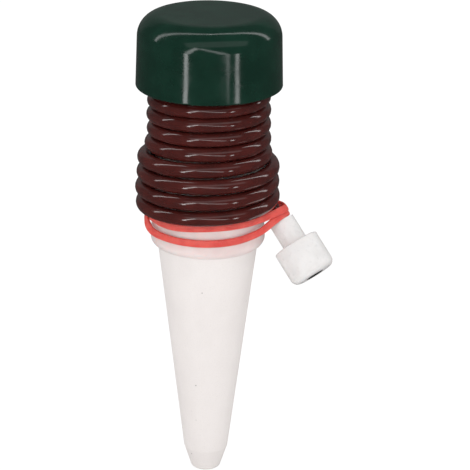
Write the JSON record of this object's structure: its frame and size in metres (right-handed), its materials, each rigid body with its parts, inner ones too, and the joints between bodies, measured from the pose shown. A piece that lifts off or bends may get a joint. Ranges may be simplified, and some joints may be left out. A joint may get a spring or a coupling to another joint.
{
  "type": "self watering spike",
  "caption": "Hollow tapered ceramic cone with a translucent collar, a green screw cap, a thin hose wound round the collar, a rubber band and a weighted inlet.",
  "frame": {"origin": "on the spike's axis at the soil line, the underside of the collar's flange", "axes": "+Z along the spike's axis, from the cone's tip to the cap; the hose's end is on the +X side"},
  "size_m": [0.0545, 0.0418, 0.1344],
  "materials": {
    "ceramic": "matt unglazed, off-white",
    "collar_plastic": "milky translucent moulding",
    "seal_rubber": "matt black",
    "hose_vinyl": "glossy brown-maroon flexible vinyl",
    "band_rubber": "satin red natural rubber",
    "cap_plastic": "glossy dark green moulding",
    "inlet_plastic": "milky white moulding, satin",
    "weight_steel": "turned, stainless"
  },
  "bodies": {
    "spike": {"ceramic_cone": "ceramic", "collar": "collar_plastic", "seal_ring": "seal_rubber", "hose": "hose_vinyl", "rubber_band": "band_rubber", "inlet_housing": "inlet_plastic", "inlet_weight": "weight_steel", "inlet_end_disc": "inlet_plastic"},
    "cap_insert": {"cap_gasket": "seal_rubber"},
    "cap_shell": {"cap": "cap_plastic"}
  },
  "joints": [
    {"name": "cap_lift", "type": "slide", "parent": "spike", "child": "cap_insert", "axis": [0, 0, 1], "range_m": [0, 0.0068]},
    {"name": "cap_turn", "type": "hinge", "parent": "cap_insert", "child": "cap_shell", "pos_m": [0, 0, 0.0555], "axis": [0, 0, 1], "range_deg": [0, 810]}
  ],
  "couplings": [
    {"joint": "cap_lift", "follows": "cap_turn", "m_per_rad": 0.00047746}
  ]
}
